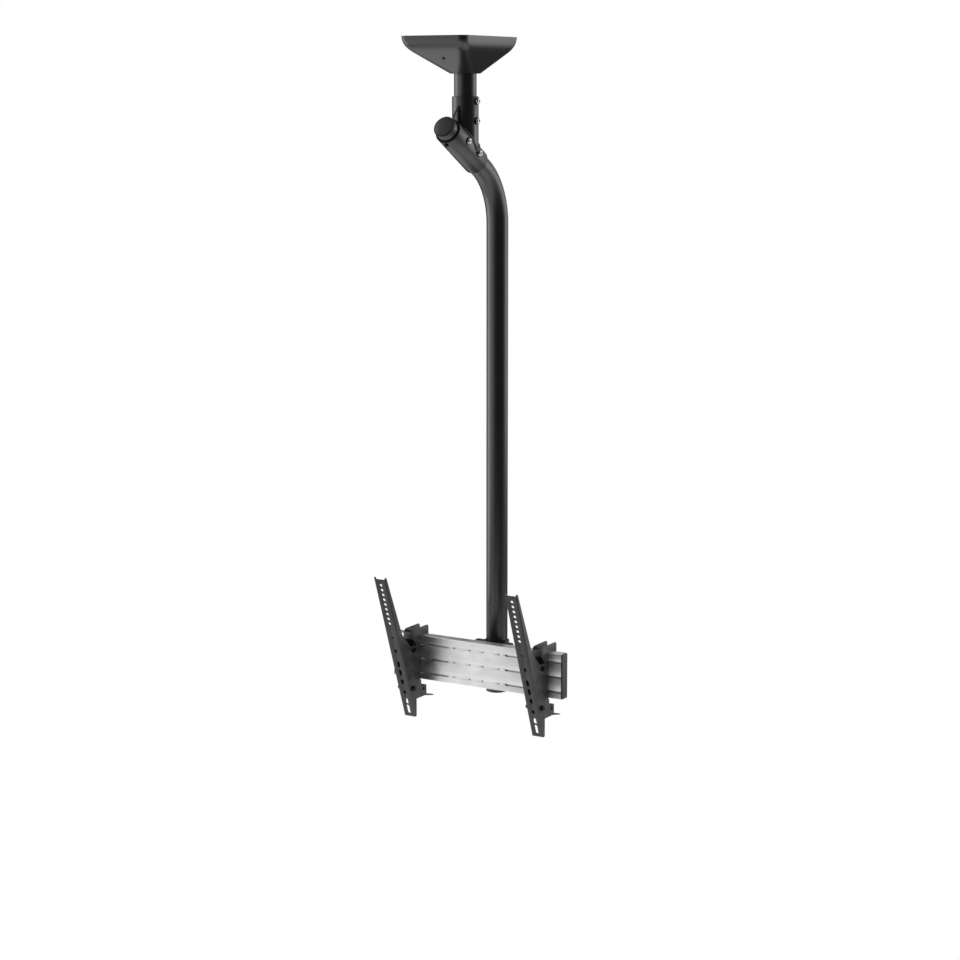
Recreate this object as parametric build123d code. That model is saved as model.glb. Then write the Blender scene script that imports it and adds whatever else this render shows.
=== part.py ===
from build123d import *
import os
from math import cos, radians, sin, tan

os.makedirs("parts", exist_ok=True)

# Offset tube ceiling mount with a rail and two tilting arms.
# Millimetres and degrees. The origin is on the stub tube's axis at the ceiling,
# +Z up, +X along the rail, -Y towards the side that the arms face.

# Tubes and the fits round them
tube_od = 60.0
tube_wall = 2.5
slide_gap = 0.3
sleeve_wall = 5.0

# Ceiling plate and stub
plate_width = 170.0
plate_length = 190.0
plate_thickness = 6.0
plate_corner = 12.0
slot_spacing_x = 120.0
slot_spacing_y = 140.0
slot_width = 11.0
slot_length = 26.0
rib_thickness = 5.0
rib_reach = 32.0
rib_height = 38.0
rib_edge = 6.0
rib_turns = (45.0, 135.0, 225.0, 315.0)

# Cover over the ceiling plate
cover_width = 201.0
cover_front = 172.9
cover_back = 115.7
cover_wall = 2.2
cover_corner = 22.0
cover_draft = 3.0
cover_crease = 27.0
cover_bend_up = 0.7
cover_bend_down = 0.24
cover_bend_steps = 5
cover_depth = 95.5
cover_outlet_radius = 40.0
cover_screw_down = (66.1, 44.9)
outlet_flat = 0.2
cover_screw_length = 9.0
tab_thickness = 3.0
tab_half_width = 9.0
tab_foot = 18.0
tab_tip = 9.0

# Coupling: an upright sleeve welded across a slanted one
sleeve_top = -154.5
stub_in_sleeve = 77.5
stub_screw_drop = (12.7, 63.7)
slant = 60.0
pole_top_y = -109.8
pole_top_z = -232.7
mouth_from_pole_top = 24.0
slant_sleeve_length = 166.0
pole_screw_at = (76.0, 141.0)
lock_screw_at = 34.0
mouth_ring_thickness = 2.5
web_thickness = 6.0
web_top_drop = 23.5
web_foot_at = 32.0

# Bent pole
bend_radius = 180.0
pole_axis_y = 172.0
pole_below_clamp = 47.0
plug_flange = 3.5
plug_dome = 4.5
plug_spigot = 16.0
plug_wall = 2.5

# Rail
rail_half_length = 267.0
rail_top = -1653.0
rail_height = 126.0
rail_depth = 30.0
rail_front = 57.0
rail_skin = 2.5
groove_pitch = 41.5
groove_set_low = 2.5
groove_mouth = 5.6
groove_lip = 2.0
rail_round = 1.2
groove_cavity = (12.0, 5.0)
groove_shell = 2.0
rear_slot_pitch = 58.0
rear_slot_mouth = 8.6
rear_slot_cavity = (16.0, 5.0)
latch_slot_width = 5.5
latch_slot_set_back = 3.5
cap_thickness = 4.0
cap_corner = 4.0
cap_peg = 8.0
cap_peg_depth = 14.0

# Strips and their screws in the front grooves
strip_half_length = 92.0
strip_play = 0.2
strip_foot = 2.0
strip_screw_x = (-72.0, -21.0, 21.0, 72.0)
strip_screw_sunk = 0.4
strip_screw_length = 5.0
strip_screw_socket = (2.5, 2.0)

# Clamp that carries the rail on the pole
clamp_height = 96.0
clamp_half_width = 60.0
clamp_split_ahead = 16.0
clamp_split_gap = 3.0
clamp_sheet = 5.0
clamp_cheek_x = 40.0
clamp_bolt_x = 50.0
clamp_bolt_pitch = 56.0
rail_bolt_x = 50.0
clamp_corner = 6.0
bolt_tip = 3.0
slot_nut = 4.0

# Hangers on the rail
hanger_inset = 61.0
hangers_off_centre = 7.5
hanger_width = 31.0
hanger_sheet = 2.5
hook_gap = 0.4
hook_rise = 23.0
hook_leg = 14.0
hook_drop = 16.0
nose_round = 16.0
chin_round = 12.0
nose_drop = 24.0
nose_chin = 22.0
hook_round = 8.0
hook_tip_round = 3.0
plate_round = 5.0
plate_over_pivot = 10.0
plate_over_stop = 4.0

# How far these stand ahead of the rail's front
nose_ahead = 40.0
nose_back_ahead = 20.0
nose_web_ahead = 15.0
hanger_ahead = 55.0
foot_ahead = 27.0
housing_ahead = 17.0
pivot_ahead = 39.5

# Arms, placed by their pivot: how far it lies down the arm and behind its front
arm_tilt = 20.0
pivot_down_arm = 264.0
pivot_behind_arm = 59.4
arm_length = 450.0
arm_width = 36.5
arm_sheet = 2.0
arm_bend = 2.5
arm_flange_top = 8.0
arm_flange_low = 22.0
arm_flange_low_at = 190.0
ear_height = 4.5
ear_slope = 1.5
ear_round = 3.0
foot_round = 4.0
arm_hole_radius = 4.2
arm_hole_first = 18.5
arm_hole_pitch = 15.5
arm_hole_count = 9
arm_lone_hole_at = 188.0
arm_slots = (
    (233.0, 12.0),
    (276.0, 20.0),
    (304.0, 20.0),
    (334.0, 16.0),
    (369.0, 12.0),
    (399.0, 18.0),
    (426.0, 28.0),
)
pivot_drop = 34.5
pivot_radius = 4.0
pivot_play = 0.06
pivot_ear = 13.0
stop_drop = 18.0
stop_spacer_radius = 6.0
foot_depth = 6.2
foot_drop = 11.0
foot_slope = 16.0
web_edge_before_pivot = 11.6
web_edge_lean = 4.0
stop_gap = 0.3
stop_spacer_length = 3.5

# Latches under the rail
latch_tab_past_rail = 2.0
latch_tab_drop = 24.0
latch_tab_depth = 30.0
latch_blade = 4.0
latch_half_width = 8.0
latch_bite = 4.0
latch_play = 0.4
latch_tail_reach = 51.0
latch_tail_drop = 11.0
latch_tail_sheet = 3.0
latch_room = 3.6
rivet_from_rail_back = 11.0
rivet_drop = 9.0
housing_gap = 1.0
housing_rivet_radius = 2.5
rivet_head = (4.5, 1.6)

# Screws and bolts: head radius, head height, shank radius
button_head = (8.8, 6.0, 5.0)
saddle_washer_radius = 10.5
lock_radius = 4.0
lock_head_radius = 6.5
lock_head_height = 5.0
lock_socket = (9.6, 3.0)
small_head = (4.6, 2.4, 2.0)
hex_across = 13.0
hex_height = 5.3
nut_height = 6.5
washer_radius = 8.0
washer_thickness = 1.6
bolt_radius = 4.0
bolt_play = 0.3

# Longer than anything that a cutter has to pass
cut_through = 120.0

tube_radius = tube_od / 2
bore_radius = tube_radius - tube_wall
sleeve_bore = tube_radius + slide_gap
sleeve_radius = sleeve_bore + sleeve_wall
rail_back = rail_front + rail_depth
rail_bottom = rail_top - rail_height
rail_middle = rail_top - rail_height / 2
stub_end_z = sleeve_top - stub_in_sleeve
stub_screw_z = [sleeve_top - drop for drop in stub_screw_drop]
groove_z = [rail_middle - groove_set_low + step * groove_pitch for step in (1, 0, -1)]
rear_slot_z = [rail_middle + side * rear_slot_pitch / 2 for side in (1, -1)]
clamp_bolt_z = [rail_middle + side * clamp_bolt_pitch / 2 for side in (1, -1)]
clamp_top = rail_middle + clamp_height / 2
clamp_bottom = rail_middle - clamp_height / 2
clamp_split_y = pole_axis_y - clamp_split_ahead
pole_bottom_z = clamp_bottom - pole_below_clamp
pivot_y = rail_front - pivot_ahead
pivot_z = rail_top - pivot_drop
stop_z = rail_bottom - stop_drop
web_edge_y = pivot_y - web_edge_before_pivot
hanger_x = rail_half_length - hanger_inset
latch_tab_rear_y = rail_back + latch_tab_past_rail
latch_tab_top = rail_bottom - latch_tab_drop
latch_tab_bottom = latch_tab_top - latch_tab_depth
latch_tail_rear_y = latch_tab_rear_y + latch_tail_reach
housing_rivet = (rail_back - rivet_from_rail_back, latch_tab_top - rivet_drop)


def save(shape, name):
    export_step(shape, f"parts/{name}.step")


def aimed(shape, place, direction):
    """Put a shape that was made along +Z at a place, pointing in a direction."""
    return Plane(origin=place, z_dir=direction) * shape


def tube(outer, inner, length):
    """Open tube from the origin up +Z."""
    low = (Align.CENTER, Align.CENTER, Align.MIN)
    return Cylinder(outer, length, align=low) - Cylinder(inner, length, align=low)


def rod(radius, length):
    """Solid rod from the origin up +Z."""
    return Cylinder(radius, length, align=(Align.CENTER, Align.CENTER, Align.MIN))


def cutter(radius):
    """Long rod along Z, to both sides of the origin."""
    return Cylinder(radius, cut_through)


def block(x, y, z):
    """Box given by its low and high limit on each axis."""
    size = (x[1] - x[0], y[1] - y[0], z[1] - z[0])
    centre = ((x[0] + x[1]) / 2, (y[0] + y[1]) / 2, (z[0] + z[1]) / 2)
    return Pos(*centre) * Box(*size)


def side_prism(points, half_width):
    """Outline in Y and Z, extruded to both sides of X = 0."""
    face = Plane.YZ * make_face(Polyline(*points, close=True))
    return extrude(face, half_width, both=True)


def rounded(plate, radius, *corners):
    """Fillet the X-wise edges of a side prism that lie at the given Y and Z."""
    across = plate.edges().filter_by(Axis.X)
    return fillet([across.sort_by_distance((0, *corner))[0] for corner in corners], radius)


def group(solids):
    return Compound(children=[s for shape in solids for s in shape.solids()])


def hex_prism(across, height):
    return extrude(RegularPolygon(across / 2, 6, major_radius=False), height)


def button_screw(head, shank_length):
    """Button head with a hex socket; the head's seat is at z = 0, the shank below."""
    radius, height, shank = head
    dome = fillet(rod(radius, height).edges().group_by(Axis.Z)[-1], 0.7 * height)
    socket = Pos(0, 0, 0.45 * height) * hex_prism(0.62 * radius, height)
    return dome - socket + Pos(0, 0, -shank_length) * rod(shank, shank_length)


def hex_bolt(shank_length, radius=bolt_radius):
    """Hex head above z = 0, shank below."""
    return hex_prism(hex_across, hex_height) + Pos(0, 0, -shank_length) * rod(radius, shank_length)


def washer():
    return tube(washer_radius, bolt_radius, washer_thickness)


def hex_nut(radius=bolt_radius):
    return hex_prism(hex_across, nut_height) - rod(radius, nut_height)


# Slanted axis that the sleeve and the pole's upper end share
slant_dir = Vector(0, sin(radians(slant)), -cos(radians(slant)))
slant_down = Vector(0, -cos(radians(slant)), -sin(radians(slant)))
pole_top = Vector(0, pole_top_y, pole_top_z)


def on_slant(distance):
    return pole_top + slant_dir * distance


def slant_top_z(y):
    """Height of the slanted sleeve's upper surface above a Y, in the middle plane."""
    axis_z = pole_top_z - (y - pole_top_y) / tan(radians(slant))
    return axis_z + sleeve_radius / sin(radians(slant))


# Ceiling plate with slots round the tube and two bent tabs for the cover's screws
def slope_of_cover(side):
    """Crease and outlet points of the cover's front (-1) or back (+1) slope."""
    reach = cover_front if side < 0 else cover_back
    crease = Vector(0, side * (reach - cover_draft), -cover_crease)
    outlet = Vector(0, side * cover_outlet_radius, -cover_depth)
    return crease, outlet


def cover_screw_place(side):
    crease, outlet = slope_of_cover(side)
    along = (outlet - crease).normalized()
    outward = Vector(0, side * -along.Z, side * along.Y)
    front_down, back_down = cover_screw_down
    return crease + along * (front_down if side < 0 else back_down), along, outward


def ceiling_plate():
    sheet = extrude(RectangleRounded(plate_width, plate_length, plate_corner), -plate_thickness)
    slot = extrude(SlotOverall(slot_length, slot_width), -plate_thickness)
    for x in (-slot_spacing_x / 2, slot_spacing_x / 2):
        for y in (-slot_spacing_y / 2, slot_spacing_y / 2):
            sheet -= Pos(x, y, 0) * slot
    return sheet - Pos(0, 0, -plate_thickness) * rod(bore_radius, plate_thickness)


def stub_tube():
    return Pos(0, 0, stub_end_z) * tube(tube_radius, bore_radius, -plate_thickness - stub_end_z)


def stub_ribs():
    outline = (
        (tube_radius, -plate_thickness),
        (tube_radius + rib_reach, -plate_thickness),
        (tube_radius + rib_reach, -plate_thickness - rib_edge),
        (tube_radius + rib_edge, -plate_thickness - rib_height),
        (tube_radius, -plate_thickness - rib_height),
    )
    rib = side_prism(outline, rib_thickness / 2)
    # The inner edge follows the tube
    rib -= cutter(tube_radius)
    return group([Rot(0, 0, angle) * rib for angle in rib_turns])


# Cover: near upright wall, round crease, four slopes down to a round outlet
def cover_section(inset, rim_share, outlet_share):
    """Rounded rectangle mixed from the rim, the crease and the outlet."""
    crease_share = 1 - rim_share - outlet_share
    outlet_radius = cover_outlet_radius - inset / 2
    draft = cover_draft * crease_share
    kept = rim_share + crease_share
    half_width = (cover_width / 2 - inset) * kept - draft + outlet_radius * outlet_share
    front = (cover_front - inset) * kept - draft + outlet_radius * outlet_share
    back = (cover_back - inset) * kept - draft + outlet_radius * outlet_share
    corner = (cover_corner - inset) * kept + (outlet_radius - outlet_flat) * outlet_share
    z = -cover_crease * crease_share - (cover_depth - inset) * outlet_share
    outline = RectangleRounded(2 * half_width, front + back, corner)
    return Pos(0, (back - front) / 2, z) * outline


def cover_form(inset):
    bend = []
    for step in range(cover_bend_steps + 1):
        t = step / cover_bend_steps
        bend.append(
            cover_section(inset, (1 - t) ** 2 * cover_bend_up, t**2 * cover_bend_down)
        )
    wall = loft([cover_section(inset, 1, 0), bend[0]], ruled=True)
    slope = loft([bend[-1], cover_section(inset, 0, 1)], ruled=True)
    return wall + loft(bend) + slope


def cover():
    shell = cover_form(0) - cover_form(cover_wall)
    shell -= Pos(0, 0, -cover_depth) * cutter(tube_radius + slide_gap)
    for side in (-1, 1):
        seat, _, outward = cover_screw_place(side)
        inner = seat - outward * cover_wall
        shell -= aimed(rod(small_head[2] + bolt_play, 2 * cover_wall), inner, outward)
    return shell


def cover_screws():
    """Pan head screws, front and back, that run into the plate's tabs."""
    screws = []
    for side in (-1, 1):
        seat, _, outward = cover_screw_place(side)
        screws.append(aimed(button_screw(small_head, cover_screw_length), seat, outward))
    return group(screws)


def cover_tabs():
    """Bent strips, welded under the plate, that the cover's screws run into."""
    tabs = []
    for side in (-1, 1):
        seat, along, outward = cover_screw_place(side)
        inner = seat - outward * cover_wall
        far = inner - outward * tab_thickness
        lower, upper = inner + along * tab_foot, inner - along * tab_tip
        far_lower, far_upper = far + along * tab_foot, far - along * tab_tip
        leg_y = far_lower.Y - side * tab_thickness
        outline = (
            (lower.Y, lower.Z),
            (upper.Y, upper.Z),
            (far_upper.Y, far_upper.Z),
            (far_lower.Y, far_lower.Z),
            (far_lower.Y, -plate_thickness),
            (leg_y, -plate_thickness),
            (leg_y, lower.Z),
        )
        tab = side_prism(outline, tab_half_width)
        hole = Pos(0, 0, -cover_screw_length) * rod(small_head[2], cover_screw_length)
        tabs.append(tab - aimed(hole, seat, outward))
    return group(tabs)


# Coupling: the upright sleeve is coped onto the slanted one and braced by a web
def coupling():
    axis_cross_z = pole_top_z + pole_top_y / tan(radians(slant))
    upright_length = sleeve_top - axis_cross_z
    upright = Pos(0, 0, axis_cross_z) * tube(sleeve_radius, sleeve_bore, upright_length)
    mouth = on_slant(mouth_from_pole_top)
    slanted = aimed(rod(sleeve_radius, slant_sleeve_length), mouth, slant_dir)
    web_rear_y = -sleeve_bore - sleeve_wall / 2
    foot_y = -sleeve_radius - web_foot_at
    sunk = sleeve_wall / 2
    web = side_prism(
        (
            (web_rear_y, sleeve_top - web_top_drop),
            (-sleeve_radius, sleeve_top - web_top_drop),
            (foot_y, slant_top_z(foot_y)),
            (foot_y, slant_top_z(foot_y) - sunk),
            (web_rear_y, slant_top_z(web_rear_y) - sunk),
        ),
        web_thickness / 2,
    )
    body = upright + slanted + web
    body -= aimed(rod(sleeve_bore, slant_sleeve_length), mouth, slant_dir)
    for z in stub_screw_z:
        body -= aimed(rod(button_head[2], sleeve_radius), (0, 0, z), (1, 0, 0))
    for at in pole_screw_at:
        body -= aimed(rod(button_head[2], sleeve_radius), on_slant(at), (1, 0, 0))
    return body - aimed(rod(lock_radius, 2 * sleeve_radius), on_slant(lock_screw_at), slant_down)


def clamping_screw(place, direction):
    """Button head screw with its washer's room, tip at the sleeve's bore."""
    seat = sleeve_radius + washer_thickness
    screw = Pos(0, 0, seat) * button_screw(button_head, seat - sleeve_bore)
    return aimed(screw, place, direction)


def stub_screws():
    return group([clamping_screw((0, 0, z), (1, 0, 0)) for z in stub_screw_z])


def pole_screws():
    return group([clamping_screw(on_slant(at), (1, 0, 0)) for at in pole_screw_at])


def saddle_washer(place, direction, axis):
    """Washer with its inner face curved to sit on a sleeve."""
    high = sleeve_radius + washer_thickness
    ring = tube(saddle_washer_radius, button_head[2] + bolt_play, high)
    ring = aimed(ring, place, direction)
    return ring - aimed(cutter(sleeve_radius), place, axis)


def screw_washers():
    rings = [saddle_washer((0, 0, z), (1, 0, 0), (0, 0, 1)) for z in stub_screw_z]
    rings += [saddle_washer(on_slant(at), (1, 0, 0), slant_dir) for at in pole_screw_at]
    return group(rings)


def lock_screw():
    """Socket head screw under the slanted sleeve's mouth."""
    screw = rod(lock_head_radius, lock_head_height)
    across, depth = lock_socket
    screw -= Pos(0, 0, lock_head_height - depth) * hex_prism(across / 2, depth)
    screw += Pos(0, 0, -sleeve_wall) * rod(lock_radius, sleeve_wall)
    return aimed(Pos(0, 0, sleeve_radius) * screw, on_slant(lock_screw_at), slant_down)


def mouth_ring():
    ring = tube(sleeve_radius, tube_radius, mouth_ring_thickness)
    return aimed(ring, on_slant(mouth_from_pole_top - mouth_ring_thickness), slant_dir)


# Pole: slanted run, one bend, upright run
bend_tangent = bend_radius * tan(radians(slant / 2))
corner_z = pole_top_z - (pole_axis_y - pole_top_y) / tan(radians(slant))
bend_corner = Vector(0, pole_axis_y, corner_z)
bend_start = bend_corner - slant_dir * bend_tangent
bend_end = bend_corner - Vector(0, 0, bend_tangent)


def bent_pole():
    start = on_slant(plug_flange)
    end = Vector(0, pole_axis_y, pole_bottom_z)
    first = Line(start, bend_start)
    bend = TangentArc(bend_start, bend_end, tangent=slant_dir)
    path = Wire([first, bend, Line(bend_end, end)])
    section = Plane(origin=start, z_dir=slant_dir)
    outer = sweep(section * Circle(tube_radius), path=path)
    return outer - sweep(section * Circle(bore_radius), path=path)


def domed_plug():
    """Tube plug: domed head above z = 0, spigot below."""
    head = rod(tube_radius, plug_flange)
    rise = plug_dome
    ball_radius = (tube_radius**2 + rise**2) / (2 * rise)
    dome = Pos(0, 0, plug_flange + rise - ball_radius) * Sphere(ball_radius)
    dome &= Pos(0, 0, plug_flange) * rod(tube_radius, rise)
    return head + dome + Pos(0, 0, -plug_spigot) * tube(bore_radius, bore_radius - plug_wall, plug_spigot)


def pole_top_plug():
    return aimed(domed_plug(), on_slant(plug_flange), slant_dir * -1)


def pole_bottom_plug():
    return aimed(domed_plug(), (0, pole_axis_y, pole_bottom_z), (0, 0, -1))


# Rail: drawn as a section in Y and Z, extruded along X
def section_box(y, z):
    return Pos((y[0] + y[1]) / 2, (z[0] + z[1]) / 2) * Rectangle(y[1] - y[0], z[1] - z[0])


def rail_section():
    inside_y = (rail_front + rail_skin, rail_back - rail_skin)
    section = section_box((rail_front, rail_back), (rail_bottom, rail_top))
    section = fillet(section.vertices(), rail_round)
    section -= section_box(inside_y, (rail_bottom + rail_skin, rail_top - rail_skin))
    lip_y = rail_front + groove_lip
    cavity_y = lip_y + groove_cavity[1]
    shell_y = cavity_y + groove_shell
    for z in groove_z:
        half_shell = groove_cavity[0] / 2 + groove_shell
        section += section_box((rail_front, shell_y), (z - half_shell, z + half_shell))
        # Web from the groove's shell to the rear wall
        section += section_box((shell_y, rail_back), (z - groove_shell / 2, z + groove_shell / 2))
    for z in groove_z:
        half_cavity = groove_cavity[0] / 2
        section -= section_box((lip_y, cavity_y), (z - half_cavity, z + half_cavity))
        section -= section_box((rail_front, lip_y), (z - groove_mouth / 2, z + groove_mouth / 2))
    for z in rear_slot_z:
        half = rear_slot_cavity[0] / 2
        inner_y = rail_back - rail_skin - rear_slot_cavity[1]
        wall = groove_shell
        section += section_box((inner_y - wall, rail_back), (z - half - wall, z + half + wall))
        section -= section_box((inner_y, rail_back - rail_skin), (z - half, z + half))
        mouth = rear_slot_mouth / 2
        section -= section_box((rail_back - rail_skin, rail_back), (z - mouth, z + mouth))
    slot_y = rail_front + latch_slot_set_back
    bottom = (rail_bottom, rail_bottom + rail_skin)
    return section - section_box((slot_y, slot_y + latch_slot_width), bottom)


def rail():
    return extrude(Plane.YZ * rail_section(), rail_half_length, both=True)


def rail_end_cap(side):
    outline = Plane.YZ * section_box((rail_front, rail_back), (rail_bottom, rail_top))
    outline = fillet(outline.vertices(), cap_corner)
    cap = Pos(rail_half_length, 0, 0) * extrude(outline, cap_thickness)
    outer_edges = cap.faces().sort_by(Axis.X)[-1].edges()
    cap = fillet(outer_edges, rail_round)
    peg_y = (rail_back - rail_skin - cap_peg_depth, rail_back - rail_skin - slide_gap)
    peg_low = rail_bottom + rail_skin + slide_gap
    for low in (peg_low, rail_top - rail_skin - slide_gap - cap_peg):
        cap += block((rail_half_length - cap_peg, rail_half_length), peg_y, (low, low + cap_peg))
    return cap if side > 0 else mirror(cap, about=Plane.YZ)


def groove_strip(z):
    """T-shaped strip, flush in the groove's mouth."""
    half_mouth = groove_mouth / 2 - strip_play
    half_foot = groove_cavity[0] / 2 - strip_play
    lip_y = rail_front + groove_lip
    x = (-strip_half_length, strip_half_length)
    back_y = lip_y + strip_foot
    strip = block(x, (rail_front, back_y), (z - half_mouth, z + half_mouth))
    strip += block(x, (lip_y, back_y), (z - half_foot, z + half_foot))
    for place in strip_screw_x:
        strip -= aimed(rod(small_head[2], groove_lip + strip_foot), (place, back_y, z), (0, -1, 0))
    return strip


def strip_screws():
    """Socket set screws, sunk a little below the strips' faces."""
    screws = []
    for z in groove_z:
        for x in strip_screw_x:
            across, depth = strip_screw_socket
            screw = Pos(0, 0, -strip_screw_length) * rod(small_head[2], strip_screw_length)
            screw -= Pos(0, 0, -depth) * hex_prism(across, depth)
            screws.append(aimed(screw, (x, rail_front + strip_screw_sunk, z), (0, -1, 0)))
    return group(screws)


# Clamp: a box with a saddle at the front of the pole, and a strap round its back
clamp_z = (clamp_bottom, clamp_top)
split_front = clamp_split_y - clamp_split_gap / 2
split_back = clamp_split_y + clamp_split_gap / 2


def clamp_bracket():
    half = clamp_half_width
    cheek = clamp_cheek_x
    sheet = clamp_sheet
    body = block((-half, half), (rail_back, rail_back + sheet), clamp_z)
    for side in (-1, 1):
        inner, outer = sorted((side * (cheek - sheet), side * cheek))
        body += block((inner, outer), (rail_back, split_front), clamp_z)
        inner, outer = sorted((side * (cheek - sheet), side * half))
        body += block((inner, outer), (split_front - sheet, split_front), clamp_z)
    for low in (clamp_bottom, clamp_top - sheet):
        body += block((-cheek, cheek), (rail_back, split_front), (low, low + sheet))
    upright = body.edges().filter_by(Axis.Y)
    corners = [edge for edge in upright if abs(abs(edge.center().X) - half) < 0.01]
    body = fillet(corners, clamp_corner)
    body -= Pos(0, pole_axis_y, clamp_bottom) * rod(tube_radius + slide_gap, clamp_height)
    for side in (-1, 1):
        for z in clamp_bolt_z:
            place = (side * clamp_bolt_x, split_back, z)
            body -= aimed(rod(bolt_radius + bolt_play, 3 * sheet), place, (0, -1, 0))
    for side in (-1, 1):
        for z in rear_slot_z:
            place = (side * rail_bolt_x, rail_back, z)
            body -= aimed(rod(bolt_radius + bolt_play, sheet), place, (0, 1, 0))
    return body


def clamp_strap():
    half = clamp_half_width
    inner = tube_radius + slide_gap
    outer = inner + clamp_sheet
    strap = block((-half, half), (split_back, split_back + clamp_sheet), clamp_z)
    strap = fillet(strap.edges().filter_by(Axis.Y), clamp_corner)
    strap += block((-outer, outer), (split_back, pole_axis_y), clamp_z)
    strap += Pos(0, pole_axis_y, clamp_bottom) * rod(outer, clamp_height)
    strap -= Pos(0, pole_axis_y, clamp_bottom) * rod(inner, clamp_height)
    strap -= block((-inner, inner), (0, pole_axis_y), clamp_z)
    strap -= block((-half, half), (0, split_back), clamp_z)
    for side in (-1, 1):
        for z in clamp_bolt_z:
            place = (side * clamp_bolt_x, split_front, z)
            strap -= aimed(rod(bolt_radius + bolt_play, 3 * clamp_sheet), place, (0, 1, 0))
    return strap


def clamp_bolts():
    """Bolts from behind, with washers under their heads."""
    seat_y = split_back + clamp_sheet
    length = washer_thickness + clamp_sheet * 2 + clamp_split_gap + nut_height + bolt_tip
    bolts = []
    for side in (-1, 1):
        for z in clamp_bolt_z:
            place = (side * clamp_bolt_x, seat_y, z)
            bolt = Pos(0, 0, washer_thickness) * hex_bolt(length)
            bolts.append(aimed(bolt + washer(), place, (0, 1, 0)))
    return group(bolts)


def clamp_nuts():
    nuts = []
    for side in (-1, 1):
        for z in clamp_bolt_z:
            place = (side * clamp_bolt_x, split_front - clamp_sheet, z)
            nuts.append(aimed(hex_nut(), place, (0, -1, 0)))
    return group(nuts)


def rail_bolts():
    """Bolts with slot nuts that hold the clamp to the rail's rear slots."""
    bolts = []
    reach = clamp_sheet + rail_skin + slot_nut
    for side in (-1, 1):
        for z in rear_slot_z:
            place = (side * rail_bolt_x, rail_back + clamp_sheet, z)
            side_length = rear_slot_cavity[0] - 2 * slide_gap
            nut = Pos(0, 0, slot_nut / 2 - reach) * Box(side_length, side_length, slot_nut)
            bolts.append(aimed(hex_bolt(reach) + nut, place, (0, 1, 0)))
    return group(bolts)


# Hanger: channel against the rail's front, two hooks over its top
latch_front_y = rail_front + latch_slot_set_back + (latch_slot_width - latch_blade) / 2
stop_y = web_edge_y + stop_gap + stop_spacer_radius
hook_outer_y = rail_back + hook_gap + hook_leg
hook_inner_y = rail_back + hook_gap
hanger_back_y = rail_front - hook_gap
hook_top = rail_top + hook_rise
plate_inner = hanger_width / 2 - hanger_sheet
nose_front_y = rail_front - nose_ahead
nose_back_y = rail_front - nose_back_ahead
nose_bottom_z = rail_top - nose_drop
hanger_front_y = rail_front - hanger_ahead


def hanger_outline():
    under_rail = rail_bottom - latch_room
    return (
        (nose_front_y, hook_top),
        (hook_outer_y, hook_top),
        (hook_outer_y, rail_top - hook_drop),
        (hook_inner_y, rail_top - hook_drop),
        (hook_inner_y, rail_top + hook_gap),
        (hanger_back_y, rail_top + hook_gap),
        (hanger_back_y, under_rail),
        (latch_front_y, under_rail),
        (latch_front_y, latch_tab_top),
        (latch_tab_rear_y, latch_tab_top),
        (latch_tab_rear_y, latch_tab_bottom),
        (rail_front - foot_ahead, latch_tab_bottom),
        (hanger_front_y, stop_z + plate_over_stop),
        (hanger_front_y, pivot_z + plate_over_pivot),
        (nose_back_y, nose_bottom_z),
        (nose_front_y, nose_bottom_z + nose_chin),
    )


def hanger():
    plate = side_prism(hanger_outline(), hanger_width / 2)
    plate = rounded(plate, nose_round, (nose_front_y, hook_top))
    plate = rounded(plate, chin_round, (nose_front_y, nose_bottom_z + nose_chin))
    plate = rounded(plate, hook_round, (hook_outer_y, hook_top))
    plate = rounded(plate, plate_round, (hanger_front_y, pivot_z + plate_over_pivot))
    plate = rounded(plate, plate_round, (hanger_front_y, stop_z + plate_over_stop))
    hook_tip = rail_top - hook_drop
    plate = rounded(plate, hook_tip_round, (hook_outer_y, hook_tip), (hook_inner_y, hook_tip))
    # Opening between the plates, leaving the web at the rail and a front web at the nose
    inside = (-plate_inner, plate_inner)
    web_y = hanger_back_y - hanger_sheet
    plate -= block(inside, (0, web_y), (latch_tab_bottom, nose_bottom_z))
    plate -= block(inside, (0, hook_outer_y), (latch_tab_bottom, rail_bottom))
    nose_open = (nose_front_y + hanger_sheet, hanger_back_y - hanger_sheet)
    plate -= block(inside, nose_open, (nose_bottom_z, hook_top - hanger_sheet))
    plate -= block(inside, (rail_front - nose_web_ahead, hook_outer_y), (rail_top - hook_drop, hook_top))
    plate -= cross_hole(pivot_radius, pivot_y, pivot_z)
    plate -= cross_hole(bolt_radius, stop_y, stop_z)
    return plate - cross_hole(housing_rivet_radius, *housing_rivet)


def across_bolt(outer_seat, place, spacer=0.0):
    """Bolt along +X with its head outside one seat and a nut outside the other."""
    seat = outer_seat + washer_thickness
    shank = 2 * seat + nut_height + bolt_tip
    parts = Pos(0, 0, seat) * hex_bolt(shank)
    parts += Pos(0, 0, outer_seat) * washer() + Pos(0, 0, -seat) * washer()
    parts += Pos(0, 0, -seat - nut_height) * hex_prism(hex_across, nut_height)
    if spacer:
        parts += Pos(0, 0, outer_seat - spacer) * tube(stop_spacer_radius, bolt_radius, spacer)
        parts += Pos(0, 0, -outer_seat) * tube(stop_spacer_radius, bolt_radius, spacer)
    return aimed(parts, (0, *place), (1, 0, 0))


def pivot_bolt():
    return across_bolt(arm_width / 2 + slide_gap, (pivot_y, pivot_z))


def stop_bolt():
    seat = hanger_width / 2 + stop_spacer_length
    return across_bolt(seat, (stop_y, stop_z), stop_spacer_length)


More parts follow.
